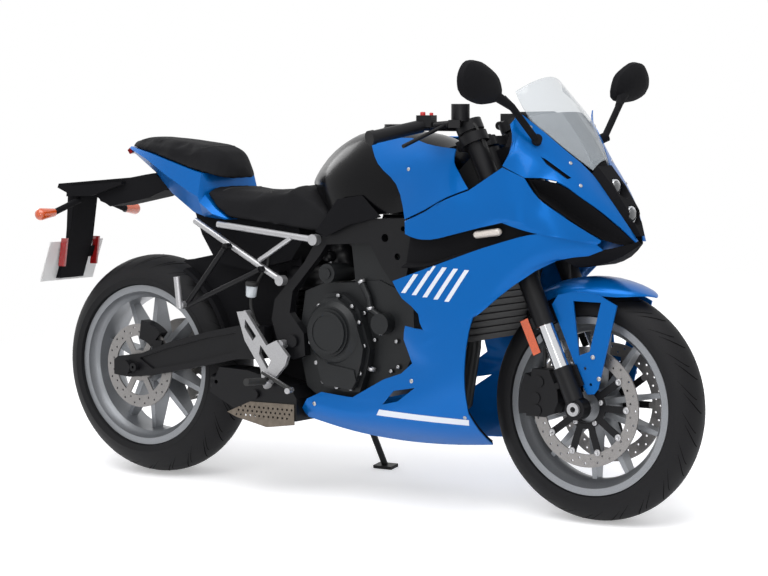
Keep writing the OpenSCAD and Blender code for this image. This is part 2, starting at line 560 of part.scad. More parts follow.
// Tank sections by x; e grows them for what seats on the tank
function tank_rows(e) = [for (r = [[-160, tank_line(-160), 14, 850, 24, 864, 16, 867], [-134, tank_line(-134), 40, 862, 50, 892, 26, 903],
  [-87, tank_line(-87), 84, 862, 96, 915, 54, 941], [-45, tank_line(-45), 112, 862, 126, 935, 76, 964], [2, 776, 128, 868, 142, 952, 92, 984],
  [90, 776, 140, 874, 154, 975, 104, 999], [190, 782, 136, 890, 154, 972, 98, 991], [250, 800, 120, 890, 150, 960, 94, 980],
  [306, 850, 80, 895, 128, 944, 84, 958]])
  tank_sec(r[0], r[1], r[2] + e, r[3], r[4] + e, r[5] + e, r[6] + e, r[7] + e)];
module tank_body(e) { loft(smooth(tank_rows(e), 2, 3, [3]), 1); }
module fuel_tank() {
  color("#0d0e10") park() difference() {
    union() {
      tank_body(0);
      translate([110, 0, 950]) cylinder(h = 55.7, r = 44);
      translate([156, -12, 990]) cube([12, 24, 15]);
    }
    translate([110, 0, 940]) cylinder(h = 80, r = 30);
    rod([156, -30, 1010], [156, 30, 1010], 5);
  }
}
module filler_cap() {
  color("#2a2b2d") park() {
    translate([110, 0, 1006]) cylinder(h = 7, r = 42);
    rod([156, -14, 1010], [156, 14, 1010], 4);
    translate([140, -10, 1006]) cube([14, 20, 7]);
  }
}
function seat_sec(x, zb, zt, wb, wt) = [[x, -wb, zb], [x, -wt, zt - 12], [x, -wt * 0.6, zt - 1], [x, 0, zt], [x, wt * 0.6, zt - 1], [x, wt, zt - 12], [x, wb, zb]];
module rider_seat() {
  color("#1c1d1f") park() loft([seat_sec(-472, 815, 838, 112, 104), seat_sec(-421, 780, 828, 134, 118), seat_sec(-374, 752, 822, 138, 126),
    seat_sec(-298, 745, 821, 138, 128), seat_sec(-200, 735, 834, 132, 104), seat_sec(-183, 733, tank_line(-183) - seat_gap, 130, 100),
    seat_sec(-120, 727, tank_line(-120) - seat_gap, 128, 96), seat_sec(-50, 722, tank_line(-50) - seat_gap, 128, 112)], 1);
}
module passenger_seat() {
  color("#1c1d1f") park() loft([seat_sec(-817, 941.3, 957, 28, 20), seat_sec(-783, 935.6, 963, 46, 40), seat_sec(-717, 924.4, 965, 62, 62),
    seat_sec(-630, 906.4, 958, 92, 84), seat_sec(-521, 880.4, 946, 112, 88), seat_sec(-484, 872.4, 938, 112, 84), seat_sec(-458, 862, 925, 96, 66),
    seat_sec(-440, 856, 906, 74, 46), seat_sec(-428, 854, 884, 46, 26)], 1);
}
function tail_sec(x, wb, zb, wm, zm, wt, zt) = [[x, -wb, zb], [x, -wm, zm], [x, -wt, zt], [x, wt, zt], [x, wm, zm], [x, wb, zb]];
module tail_cowl() {
  color("#1769c4") park() loft([tail_sec(-818, 20, 926, 34, 936, 28, 941), tail_sec(-717, 40, 870, 72, 903, 62, 924),
    tail_sec(-630, 70, 812, 101, 866, 92, 906), tail_sec(-521, 104, 762, 126, 820, 112, 880), tail_sec(-484, 112, 754, 134, 808, 118, 872),
    tail_sec(-476, 114, 752, 137, 792, 112, 812), tail_sec(-421, 126, 748, 147, 762, 134, 777), tail_sec(-374, 130, 747, 150, 748, 138, 750)], 1);
}
module plate_hanger() {
  color("#1b1c1d") park() {
    side_plate(-52, 52) polygon([[-742, 862], [-712, 866.4], [-660, 831.7], [-672, 818], [-690, 812], [-730, 796], [-880, 766], [-930, 792], [-1020, 788], [-1034, 700], [-1040, 662], [-1080, 548],
      [-1094.6, 548], [-1054.4, 662], [-1050, 700], [-1044, 800], [-1085, 816], [-1080, 828], [-800, 852]]);
    side_plate(-70, 70) polygon([[-1034, 792], [-1030, 822], [-820, 840], [-820, 832], [-940, 796]]);
    both() rod([-1000, -50, 782], [-1004.9, -153, 749.6], 9);
    both() side_plate(-66, -50) polygon([[-1070, 608], [-1056, 608], [-1044, 640], [-1058, 640]]);
  }
}
module number_plate() { color("#e8e8e6") park() translate([-1078.6, 0, 600]) rotate([0, 20, 0]) cube([3, 230, 125], center = true); }
bracket = [[-317, 497], [-286, 500], [-215, 410], [-180, 426], [-141, 385], [-150, 360], [-205, 300], [-230, 310], [-235, 345], [-290, 420]];
module footrest() {
  difference() {
    union() {
      side_plate(-172, -160) polygon(bracket);
      axle_y(-178, 414, -160, -138.3, 12);
      axle_y(-298, 492, -160, -139, 9);
      rod([-214, -170, 312], [-214, -262, 318], 10);
      rod([-224, -176, 336], [-112, -196, 298], 6);
      rod([-118, -186, 297], [-112, -214, 296], 8);
      rod([-222, -168, 316], [-206, -178, 300], 12);
    }
    side_plate(-180, -150) polygon([[-288, 478], [-250, 434], [-262, 420], [-290, 455]]);
    side_plate(-180, -150) polygon([[-235, 410], [-200, 370], [-212, 345], [-240, 385]]);
  }
}
module footrests() { color("#a9aaac") park() both() footrest(); }
module passenger_peg() {
  rod([-362, -168, 670], [-498, -168, 508], 7.5);
  rod([-240, -168, 616], [-496, -168.4, 504], 7);
  axle_y(-362, 674.5, -168, -145.1, 9);
  axle_y(-240, 616.5, -168, -154.3, 9);
  axle_y(-503, 507, -190, -160.6, 11);
  rod([-505, -189, 498], [-513, -192, 586], 9.5);
}
module passenger_pegs() { color("#242526") park() both() passenger_peg(); }

// Fairing panels, right side; the left is the mirror image
tank_cover_rows = [
  [[106, -128, 966], [150, -160, 912], [219, -175, 860], [263, -200, 771]],
  [[228, -118, 980], [262, -166, 935], [300, -190, 880], [330, -207, 798]],
  [[292, -141, 966], [332, -174, 928], [362, -192, 885], [400, -215, 831]],
  [[400, -167, 955], [404, -181, 922], [425, -190, 895], [463, -205, 855]]];
upper_rows = [
  [[263, -199, 766], [264, -201, 764], [268, -205, 733]],
  [[330, -206, 793], [328, -208.5, 790], [292, -203, 724]],
  [[400, -214, 826], [396, -215, 823], [318, -202, 720]],
  [[464, -205, 850], [470, -214, 812], [400, -206, 732]],
  [[566, -205, 911], [560, -212, 790], [500, -205, 757]],
  [[622, -190, 885], [620, -203, 774], [563, -202, 771]],
  [[664, -190, 835], [668, -186, 757], [645, -190, 748]],
  [[698, -165, 803], [706, -160, 746], [700, -165, 738]],
  [[780, -75, 727], [778, -77, 722], [770, -80, 716]]];
// Side panel, rows from its upper edge down to the belly, each from rear to front
side_rows = [
  [[235, -215, 609], [400, -215, 667], [548, -205, 717], [660, -184, 745], [770, -80, 716]],
  [[264, -213, 565], [400, -216, 612], [530, -211, 655], [655, -180, 700], [780, -66, 702]],
  [[313, -210, 527], [408, -215, 560], [505, -211, 600], [600, -190, 645], [692, -130, 680]],
  [[316, -208, 505], [384, -213, 520], [450, -213, 540], [518, -205, 572], [584, -182, 610]],
  [[327, -205, 483], [374, -209, 492], [420, -212, 506], [466, -213, 526], [512, -210, 548]],
  [[262, -196, 492], [330, -204, 458], [384, -208, 474], [436, -212, 497], [485, -216, 528]],
  [[252, -188, 455], [300, -197, 432], [362, -204, 449], [418, -209, 466], [470, -213, 486]],
  [[275, -182, 393], [322, -192, 391], [368, -200, 398], [414, -205, 405], [456, -209, 410]],
  [[172, -168, 342], [245, -181, 333], [318, -191, 336], [388, -198, 341], [451, -202, 345]],
  [[61, -154, 285], [165, -170, 292], [270, -184, 299], [365, -191, 306], [450, -193, 311]],
  [[-51, -141, 291], [80, -156, 268], [215, -176, 268], [340, -184, 272], [450, -181, 273]],
  [[-118, -138, 243], [30, -148, 228], [180, -160, 224], [330, -162, 224], [462, -148, 226]],
  [[-107, -122, 217], [40, -112, 188], [190, -102, 174], [330, -96, 174], [469, -92, 184]]];
side_creases = [4, 5, 9, 10];
side_vent = [[171, 276], [212, 316], [287, 330], [226, 289]];
module fairing() {
  panel(smooth(upper_rows, 3, 2, [3, 4, 5], [1]), skin, -1);
  difference() {
    panel(smooth(side_rows, 2, 4, side_creases), skin, 1);
    side_plate(-240, -140) polygon(side_vent);
  }
}
module tank_covers() {
  color("#1769c4") park() both() {
    panel(smooth(tank_cover_rows, 3, 3), skin, -1);
    difference() {
      axle_y(262, 900, -178, -120, 9);
      tank_body(0.3);
    }
  }
}
trim = [[-59, 725], [14, 815], [94, 827], [156, 771], [54, 748], [-26, 713]];
module tank_trim() { color("#1a1b1d") park() both() side_plate(-156, -152.2) polygon(trim); }
module fairing_right() { color("#1769c4") park() fairing(); }
module fairing_left() { color("#1769c4") park() flip() fairing(); }
nose_rows = [
  [[601, -185, 1052], [596, -192, 1036], [586, -200, 1020]],
  [[621, -150, 1024], [606, -186, 1000], [594, -202, 975]],
  [[648, -132, 998], [632, -178, 965], [566, -205, 915]],
  [[690, -98, 952], [670, -155, 930], [622, -190, 886]],
  [[743, -52, 890], [722, -125, 887], [699, -160, 879]],
  [[780, -48, 843], [766, -98, 842], [748, -128, 840]],
  [[818, -42, 791], [806, -70, 795], [792, -90, 799]],
  [[851, -12, 726], [853, -18, 725], [853, -25, 724]]];
nose_slot = [[655, 938], [664, 934], [722, 886], [716, 882], [668, 920]];
function nose_grid(n) = smooth([for (i = [0:n]) nose_rows[i]], 2, 3, [2, 3]);
module nose_sides() {
  color("#1769c4") park() both() difference() {
    panel(nose_grid(7), skin, -1);
    side_plate(-240, -110) polygon(nose_slot);
  }
}
// Front indicator capsule and the dark panels round it
signal_a = [482, -191, 738];
signal_b = [546, -191, 747];
module signal_shape(r) {
  hull() {
    translate(signal_a) sphere(r = r, $fn = 20);
    translate(signal_b) sphere(r = r, $fn = 20);
  }
}
duct_rows = [
  [[632, -183, 879], [640, -158, 855], [660, -181, 840]],
  [[698, -152, 870], [672, -126, 830], [698, -156, 806]],
  [[750, -116, 833], [716, -96, 790], [742, -110, 764]],
  [[792, -80, 789], [760, -64, 756], [782, -66, 730]],
  [[846, -20, 722], [838, -16, 718], [836, -18, 712]]];
niche_rows = [
  [[270, -193, 728], [268, -181, 724], [256, -181, 656], [250, -196, 646]],
  [[322, -195, 718], [322, -181, 714], [336, -181, 660], [338, -201, 652]],
  [[402, -199, 734], [402, -181, 730], [406, -181, 682], [408, -203, 674]],
  [[470, -198, 750], [470, -180.7, 749], [472, -180.7, 700], [474, -198, 690]],
  [[560, -196, 769], [560, -180.7, 767], [562, -180.7, 722], [563, -192, 714]],
  [[646, -183, 752], [646, -180.7, 750], [646, -180.7, 744], [646, -182, 740]]];
// Studs that carry the niche on the side panels: x, z, y of the stud's end
niche_studs = [[404, 739, -202.9], [440, 676, -209.3]];
// Black shroud inside the side panel's front edge, from the edge's own points
shroud_rows = [for (k = [5:12]) let(p = side_rows[k][4])
  [p - [1, 0, 0] - ((k == 5 ? 4.6 : 3.1) + skin) * grid_normal(side_rows, k, 4, 1), p + [-28, 34, 0], p + [-36, 58, 0]]];
chin_rows = [
  [[852, 11, 724], [856, 4, 718], [856, -4, 718], [852, -11, 724]],
  [[800, 52, 706], [808, 30, 682], [808, -30, 682], [800, -52, 706]],
  [[726, 96, 688], [750, 50, 660], [750, -50, 660], [726, -96, 688]],
  [[698, 118, 676], [706, 70, 656], [706, -70, 656], [698, -118, 676]]];
module inner_side() {
  panel(smooth(duct_rows, 2, 2), skin, -1);
  panel(smooth(niche_rows, 2, 1), skin, -1);
  for (p = niche_studs) axle_y(p[0], p[1], p[2], -190, 5);
  panel(smooth(shroud_rows, 2, 2, [4, 5]), skin, 1);
}
module inner_panels() {
  color("#17181a") park() {
    both() inner_side();
    panel(smooth(chin_rows, 2, 2, [], [1, 2]), skin, -1);
  }
}
module turn_signals() {
  color("#c8641e") park() both() {
    signal_shape(10);
    hull() {
      translate([-1005, -156, 749]) rotate([90, 0, 0]) cylinder(h = 12, r = 12, $fn = 24);
      translate([-1009, -206, 746]) sphere(r = 18, $fn = 20);
    }
  }
}
module tail_lamp() {
  color("#a01818") park() {
    loft([[[-834, -16, 918], [-834, -26, 930], [-834, 26, 930], [-834, 16, 918]], [[-818.4, -20, 922], [-818.4, -32, 938], [-818.4, 32, 938], [-818.4, 20, 922]]], 1);
    both() side_plate(-73, -66.3) polygon([[-1066, 586], [-1042, 586], [-1030, 669], [-1052, 669]]);
  }
}
// Two lamps one above the other in the centre panel: x of the pocket floor, z
lamps = [[766, 857], [812, 790]];
lamp_r = 23;
module lamp_panel() {
  color("#141517") park() {
    difference() {
      loft([
        [[730, -47, 888], [730, 47, 888], [744, 36, 914], [744, -36, 914]],
        [[775, -44, 843], [775, 44, 843], [788, 33, 864], [788, -33, 864]],
        [[812, -38, 791], [812, 38, 791], [830, 29, 803], [830, -29, 803]],
        [[838, -14, 736], [838, 14, 736], [858, 9, 738], [858, -9, 738]]], -1);
      for (p = lamps) translate([p[0], 0, p[1]]) rotate([0, 90, 0]) cylinder(h = 60, r = lamp_r + 3);
    }
    panel(smooth([for (r = spine_rows) [for (y = [36, 0, -36]) screen_pt(r, y, r[5])]], 2, 2), skin, 1);
  }
}
module headlamps() {
  color([0.85, 0.9, 0.95, 0.5]) park() for (p = lamps) translate([p[0] + 0.3, 0, p[1]]) rotate([0, 90, 0]) {
    cylinder(h = 11, r = lamp_r);
    cylinder(h = 16, r1 = lamp_r - 3, r2 = lamp_r - 9);
  }
}
// Screen rows from its lower edge up: side x, half width, side z, middle x, middle z
screen_rows = [[736, 43, 903, 746, 929], [690, 93, 954, 716, 967], [648, 127, 999, 690, 1003], [621, 146, 1027, 672, 1026],
  [585, 140, 1065, 633, 1077], [550, 118, 1103, 583, 1140]];
// Rows of the cowls under the screen, the last value is how far below it they lie
spine_rows = [[744, 43, 889, 753, 911, 9], [736, 43, 903, 746, 929, 4.9], [690, 93, 954, 716, 967, 6.6], [648, 127, 999, 690, 1003, 8],
  [621, 146, 1027, 672, 1026, 9], [603, 145, 1045, 650, 1056, 10]];
function screen_pt(r, y, d) = let(k = 1 - pow(y / r[1], 2)) [r[0] + k * (r[3] - r[0]) - 0.8 * d, y, r[2] + k * (r[4] - r[2]) - 0.6 * d];
module screen_cowls() {
  both()
    panel(smooth([for (i = [1:5]) let(r = spine_rows[i], w = r[1] - 7) [for (t = [1, 0.5, 0]) screen_pt(r, -36.4 - (max(w, 38.5) - 36.4) * t, r[5])]], 2, 2), skin, -1);
}
module windscreen() {
  color([0.8, 0.85, 0.9, 0.35]) park()
    panel(smooth([for (r = screen_rows) [for (t = [1, 0.6, 0, -0.6, -1]) screen_pt(r, t * r[1], 0)]], 2, 3), skin, 1);
}
module dash_panel() {
  color("#17181a") park() {
    loft([
      [[520, -120, 960], [520, 120, 960], [540, 90, 1050], [540, -90, 1050]],
      [[600, -120, 960], [600, 120, 960], [612, 80, 1020], [612, -80, 1020]],
      [[729.7, -40, 888.1], [729.7, 40, 888.1], [731.4, 36, 891.3], [731.4, -36, 891.3]]], -1);
    screen_cowls();
    both() rod([575, -100, 975], [610.95, -185.9, 952.04], 6);
  }
}
// Mirror head outline, y and z, from its inner lower corner
mirror_outline = [[279, 1084], [296, 1138], [340, 1164], [393, 1180], [440, 1172], [462, 1140], [458, 1106], [400, 1077], [330, 1072]];
mirror_c = [372, 1125];
// Closed smooth ring of points
function ring(v, n) = let(m = len(v), w = curve([for (k = [-1:m + 1]) v[(k + m) % m]], n)) [for (k = [n:n * (m + 1) - 1]) w[k]];
function mirror_ring(x, k) = ring([for (p = mirror_outline) [x, mirror_c[0] + k * (p[0] - mirror_c[0]), mirror_c[1] + k * (p[1] - mirror_c[1])]], 3);
module cone(a, b, r1, r2) {
  d = b - a;
  translate(a) rotate([0, acos(d[2] / norm(d)), atan2(d[1], d[0])]) cylinder(h = norm(d), r1 = r1, r2 = r2, $fn = 24);
}
module mirror_arm() {
  tube_path([[645, 168, 979], [633, 266, 1064], [622, 290, 1086]], 9);
  cone([633, 262, 1062], [614, 330, 1100], 9, 15);
  difference() {
    rod([634, 153.5, 973], [651, 175, 984.5], 13);
    translate([0.23, 0.16, 0.11]) flip() panel(nose_grid(4), 20, -1);
  }
  loft([for (r = [[594, 0.93], [600, 1], [614, 0.95], [628, 0.72], [636, 0.35]]) mirror_ring(r[0], r[1])], 1);
}
module mirrors() { color("#1a1b1d") park() both() mirror_arm(); }

// Side stand, left side, down: the foot reaches the ground of the leaning bike
stand_pivot = [-150, 128, 300];
stand_tilt = 21.1;
stand_axis = [0, cos(stand_tilt), sin(stand_tilt)];
foot_x = -100;
foot_y = 228;
foot_z = (foot_y * sin(lean) - lift) / cos(lean);
module side_stand() {
  color("#1b1c1e") park() difference() {
    union() {
      rod(stand_pivot + [6, 12, -22], [foot_x, foot_y, foot_z + 8], 9);
      rod(stand_pivot - 9 * stand_axis, stand_pivot + 10 * stand_axis, 15);
      rod(stand_pivot + [3, 5, -13], stand_pivot + [8, 14, -34], 8);
    }
    rod(stand_pivot - 30 * stand_axis, stand_pivot + 30 * stand_axis, 6.2);
  }
  color("#1b1c1e") translate([shift_x + foot_x, shift_y + foot_y * cos(lean) + foot_z * sin(lean), 0]) translate([-28, -18, 0]) cube([62, 36, 9]);
}
front_tyre();
front_rim();
front_discs();
rear_tyre();
rear_rim();
rear_disc();
rear_sprocket();
fork_legs();
triple_clamps();
handlebars();
front_fender();
front_calipers();
front_axle();
frame();
subframe();
undertail();
engine_cases();
cylinder_block();
engine_covers();
radiator();
exhaust_headers();
silencer();
heat_shield();
fuel_tank();
filler_cap();
tank_covers();
tank_trim();
fairing_right();
fairing_left();
inner_panels();
nose_sides();
lamp_panel();
headlamps();
windscreen();
dash_panel();
mirrors();
rider_seat();
passenger_seat();
tail_cowl();
plate_hanger();
number_plate();
turn_signals();
tail_lamp();
footrests();
passenger_pegs();
swingarm();
drive_chain();
rear_shock();
rear_hugger();
rear_caliper();
side_stand();
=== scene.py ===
import json
import math
import bmesh
import bpy
from mathutils import Matrix, Vector
from mathutils.bvhtree import BVHTree


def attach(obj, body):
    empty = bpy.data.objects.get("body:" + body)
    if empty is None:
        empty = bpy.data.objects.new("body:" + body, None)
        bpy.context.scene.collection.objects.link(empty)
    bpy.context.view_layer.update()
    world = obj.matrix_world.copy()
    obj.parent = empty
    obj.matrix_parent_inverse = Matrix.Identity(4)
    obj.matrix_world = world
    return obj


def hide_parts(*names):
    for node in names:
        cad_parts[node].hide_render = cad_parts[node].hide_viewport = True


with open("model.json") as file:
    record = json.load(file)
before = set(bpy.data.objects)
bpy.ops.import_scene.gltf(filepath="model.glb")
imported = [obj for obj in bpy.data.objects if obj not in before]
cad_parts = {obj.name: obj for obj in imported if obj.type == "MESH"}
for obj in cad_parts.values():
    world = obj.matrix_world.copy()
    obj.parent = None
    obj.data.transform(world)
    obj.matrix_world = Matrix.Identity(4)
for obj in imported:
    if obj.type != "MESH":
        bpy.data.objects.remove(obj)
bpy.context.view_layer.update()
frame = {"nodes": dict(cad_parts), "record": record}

LEAN = math.radians(9.0)
CROWN = 0.093  # crown radius of the rear tyre, on which the bike rolls as it leans
SHIFT = Vector((0.0345, -0.177, CROWN * (1 - math.cos(LEAN))))
TILT = Matrix.Rotation(-LEAN, 4, "X")
PARK = Matrix.Translation(SHIFT) @ TILT
UNPARK = PARK.inverted()
RAKE = math.radians(25.0)
FRONT_X, FRONT_Z = 732.5, 300  # front axle, upright bike, mm
REAR_X, REAR_Z = -732.5, 315  # rear axle


def mm(x, y, z):
    """A point of the upright bike, in mm, in the row frame in metres."""
    return PARK @ Vector((x / 1000, y / 1000, z / 1000))


# camera: the photograph's, held to the bike and so turned with its lean
AZ, PITCH = math.radians(35.127), math.radians(4.659)
FOCAL_PX, WIDTH_PX, SENSOR = 2516.8, 768, 36
forward = Vector((-math.sin(AZ) * math.cos(PITCH), math.cos(AZ) * math.cos(PITCH), -math.sin(PITCH)))
right = Vector((math.cos(AZ), math.sin(AZ), 0))
up = right.cross(forward)
cam_data = bpy.data.cameras.new("camera")
cam = bpy.data.objects.new("camera", cam_data)
bpy.context.scene.collection.objects.link(cam)
turn = Matrix((right, up, -forward)).transposed().to_4x4()
cam.matrix_world = Matrix.Translation(mm(3977.93, -5573.20, 1123.95)) @ TILT @ turn
cam_data.sensor_width = SENSOR
cam_data.lens = FOCAL_PX / WIDTH_PX * SENSOR
cam_data.clip_end = 200
bpy.context.scene.camera = cam



def seen_ray(tree):
    """1 for the rays that meet the white backdrop: the camera's, and those off metal and through glass."""
    path = tree.nodes.new("ShaderNodeLightPath")
    seen = path.outputs["Is Camera Ray"]
    for ray in ("Is Glossy Ray", "Is Transmission Ray"):
        either = tree.nodes.new("ShaderNodeMath")
        either.operation = "MAXIMUM"
        tree.links.new(seen, either.inputs[0])
        tree.links.new(path.outputs[ray], either.inputs[1])
        seen = either.outputs[0]
    return seen


scene = bpy.context.scene
scene.view_settings.view_transform = "Standard"
world = bpy.data.worlds.new("studio")
scene.world = world
world.use_nodes = True
wt = world.node_tree
bg = wt.nodes["Background"]
bg.inputs["Strength"].default_value = 1.0
# white where the camera looks straight at it, a soft studio with a darker horizon elsewhere
coord = wt.nodes.new("ShaderNodeTexCoord")
sep = wt.nodes.new("ShaderNodeSeparateXYZ")
wt.links.new(coord.outputs["Generated"], sep.inputs["Vector"])
ramp = wt.nodes.new("ShaderNodeValToRGB")
for pos, v in ((0.0, 0.55), (0.45, 0.28), (0.52, 0.2), (0.62, 0.55), (1.0, 1.0)):
    if pos in (0.0, 1.0):
        e = ramp.color_ramp.elements[0 if pos == 0.0 else -1]
    else:
        e = ramp.color_ramp.elements.new(pos)
    e.position = pos
    e.color = (v, v, v * 1.03, 1)
half = wt.nodes.new("ShaderNodeMath")
half.operation = "MULTIPLY_ADD"
half.inputs[1].default_value = 0.5
half.inputs[2].default_value = 0.5
wt.links.new(sep.outputs["Z"], half.inputs[0])
wt.links.new(half.outputs[0], ramp.inputs["Fac"])
mix = wt.nodes.new("ShaderNodeMix")
mix.data_type = "RGBA"
mix.inputs[7].default_value = (1, 1, 1, 1)
wt.links.new(seen_ray(wt), mix.inputs[0])
wt.links.new(ramp.outputs["Color"], mix.inputs[6])
wt.links.new(mix.outputs[2], bg.inputs["Color"])


def lamp(name, loc, target, energy, size=2.0, size_y=None):
    d = bpy.data.lights.new(name, "AREA")
    d.energy = energy
    d.shape = "RECTANGLE"
    d.size = size
    d.size_y = size_y or size
    o = bpy.data.objects.new(name, d)
    scene.collection.objects.link(o)
    o.location = loc
    o.rotation_euler = (Vector(target) - Vector(loc)).to_track_quat("-Z", "Y").to_euler()
    return o


lamp("key", (0.5, -1.2, 4.2), (0, 0, 0.4), 150, 4.5, 3.2)
lamp("side", (3.0, -4.5, 1.9), (0.2, 0, 0.6), 48, 3.0, 1.4)
lamp("rim", (-4.5, 1.5, 2.6), (0, 0, 0.7), 45, 2.0, 2.0)

floor_mesh = bpy.data.meshes.new("floor")
floor_mesh.from_pydata([(-40, -40, 0), (40, -40, 0), (40, 40, 0), (-40, 40, 0)], [], [(0, 1, 2, 3)])
floor = bpy.data.objects.new("floor", floor_mesh)
scene.collection.objects.link(floor)


def shade(color, k):
    return [min(1, c * k) for c in color] + [1]


def material(name, color, metallic=0.0, rough=0.5, coat=0.0, alpha=1.0, bump=0.0,
             scale=400.0, vary=0.15, spec=0.5):
    """Principled paint with fine colour and height variation from noise in the piece's own space."""
    m = bpy.data.materials.new(name)
    m.use_nodes = True
    nt = m.node_tree
    b = nt.nodes["Principled BSDF"]
    b.inputs["Metallic"].default_value = metallic
    b.inputs["Roughness"].default_value = rough
    b.inputs["Coat Weight"].default_value = coat
    b.inputs["Coat Roughness"].default_value = 0.03
    b.inputs["Alpha"].default_value = alpha
    b.inputs["Specular IOR Level"].default_value = spec
    tex = nt.nodes.new("ShaderNodeTexCoord")
    noise = nt.nodes.new("ShaderNodeTexNoise")
    noise.inputs["Scale"].default_value = scale
    noise.inputs["Detail"].default_value = 3
    nt.links.new(tex.outputs["Object"], noise.inputs["Vector"])
    cr = nt.nodes.new("ShaderNodeValToRGB")
    for e, pos, k in zip(cr.color_ramp.elements, (0.3, 0.7), (1 - vary, 1 + vary)):
        e.position = pos
        e.color = shade(color, k)
    nt.links.new(noise.outputs["Fac"], cr.inputs["Fac"])
    nt.links.new(cr.outputs["Color"], b.inputs["Base Color"])
    if bump:
        bn = nt.nodes.new("ShaderNodeBump")
        bn.inputs["Strength"].default_value = bump
        bn.inputs["Distance"].default_value = 0.0004
        nt.links.new(noise.outputs["Fac"], bn.inputs["Height"])
        nt.links.new(bn.outputs["Normal"], b.inputs["Normal"])
    return m


MAT = {
    "tyre": material("tyre_rubber", (0.007, 0.007, 0.008), rough=0.6, bump=0.3, scale=300, spec=0.18),
    "rim": material("rim_silver", (0.25, 0.26, 0.275), metallic=0.7, rough=0.38, scale=900, bump=0.05),
    "disc": material("disc_steel", (0.27, 0.26, 0.255), metallic=0.85, rough=0.38, scale=500),
    "black_metal": material("black_satin", (0.005, 0.005, 0.006), rough=0.4, scale=700, bump=0.1, spec=0.2),
    "engine_grey": material("engine_grey", (0.012, 0.013, 0.014), metallic=0.2, rough=0.42,
                            scale=700, bump=0.15, spec=0.3),
    "blue": material("blue_metallic", (0.0, 0.105, 0.38), metallic=0.45, rough=0.3, coat=0.12,
                     scale=3000, vary=0.1, spec=0.12),
    "gloss_black": material("gloss_black", (0.0015, 0.0015, 0.002), rough=0.24, coat=0.05,
                            scale=500, spec=0.12),
    "black_plastic": material("black_grain", (0.005, 0.005, 0.006), rough=0.8, bump=0.3,
                              scale=1500, spec=0.1),
    "seat": material("seat_vinyl", (0.006, 0.006, 0.007), rough=0.75, bump=0.5, scale=1800, spec=0.12),
    "silver": material("silver_metal", (0.42, 0.42, 0.43), metallic=0.8, rough=0.34, scale=600),
    "screen": material("screen", (0.42, 0.46, 0.49), rough=0.04, alpha=0.34, scale=100, vary=0.02),
    "exhaust": material("exhaust_steel", (0.16, 0.135, 0.11), metallic=0.85, rough=0.4, scale=60),
    "white_plate": material("white_plate", (0.72, 0.72, 0.71), rough=0.4, scale=300, vary=0.02),
    "chain": material("chain_steel", (0.25, 0.24, 0.23), metallic=0.85, rough=0.38, scale=600),
    "lamp": material("lamp_lens", (0.75, 0.8, 0.84), rough=0.08, coat=1.0, alpha=0.75, scale=300, vary=0.05),
    "signal": material("signal_lens", (0.55, 0.5, 0.45), rough=0.15, coat=1.0, scale=300),
    "red_lens": material("red_lens", (0.28, 0.01, 0.01), rough=0.18, coat=1.0, scale=300),
}
EXTRA = {
    "chrome": material("fork_chrome", (0.62, 0.63, 0.65), metallic=1.0, rough=0.12, scale=300, vary=0.03),
    "rubber": material("peg_rubber", (0.012, 0.012, 0.012), rough=0.7, bump=0.6, scale=900),
    "amber": material("amber_lens", (0.5, 0.07, 0.01), rough=0.2, coat=1.0, scale=300),
    "dark_plate": material("dark_plate", (0.03, 0.03, 0.032), rough=0.4, scale=300),
    "cowl": material("cowl_grey", (0.16, 0.165, 0.17), rough=0.45, scale=900, spec=0.3),
    # darker, duller rubber than the tyre, laid flat on it: painted shade in the tread grooves
    "groove_shade": material("tread_groove_painted_shade", (0.002, 0.002, 0.002), rough=0.9, scale=200, spec=0.05),
    "projector": material("lamp_projector", (0.05, 0.055, 0.06), rough=0.05, coat=1.0, scale=300),
    "red": material("button_red", (0.4, 0.01, 0.01), rough=0.3, scale=300),
    "stripe": material("stripe_silver", (0.62, 0.66, 0.72), metallic=0.1, rough=0.3, coat=1.0,
                       scale=2500, vary=0.05),
}


def floor_paint():
    """Matt white that keeps the bike's shadow near it and fades to the white backdrop further off."""
    m = material("floor_white", (0.9, 0.9, 0.9), rough=0.9, vary=0.0, spec=0.1)
    nt = m.node_tree
    shader, out = nt.nodes["Principled BSDF"], nt.nodes["Material Output"]
    eye = seen_ray(nt)
    far = nt.nodes.new("ShaderNodeVectorMath")
    far.operation = "LENGTH"
    place = nt.nodes.new("ShaderNodeTexCoord")
    nt.links.new(place.outputs["Object"], far.inputs[0])
    fade = nt.nodes.new("ShaderNodeMapRange")
    fade.interpolation_type = "SMOOTHSTEP"
    fade.inputs["From Min"].default_value = 1.2
    fade.inputs["From Max"].default_value = 2.6
    nt.links.new(far.outputs["Value"], fade.inputs["Value"])
    fac = nt.nodes.new("ShaderNodeMath")
    fac.operation = "MULTIPLY"
    nt.links.new(fade.outputs["Result"], fac.inputs[0])
    nt.links.new(eye, fac.inputs[1])
    glow = nt.nodes.new("ShaderNodeMath")
    glow.operation = "MULTIPLY"
    glow.inputs[1].default_value = 0.3
    nt.links.new(eye, glow.inputs[0])
    shader.inputs["Emission Color"].default_value = (1, 1, 1, 1)
    nt.links.new(glow.outputs[0], shader.inputs["Emission Strength"])
    white = nt.nodes.new("ShaderNodeEmission")
    white.inputs["Color"].default_value = (1, 1, 1, 1)
    blend = nt.nodes.new("ShaderNodeMixShader")
    nt.links.new(fac.outputs[0], blend.inputs[0])
    nt.links.new(shader.outputs[0], blend.inputs[1])
    nt.links.new(white.outputs[0], blend.inputs[2])
    nt.links.new(blend.outputs[0], out.inputs["Surface"])
    return m


floor.data.materials.append(floor_paint())


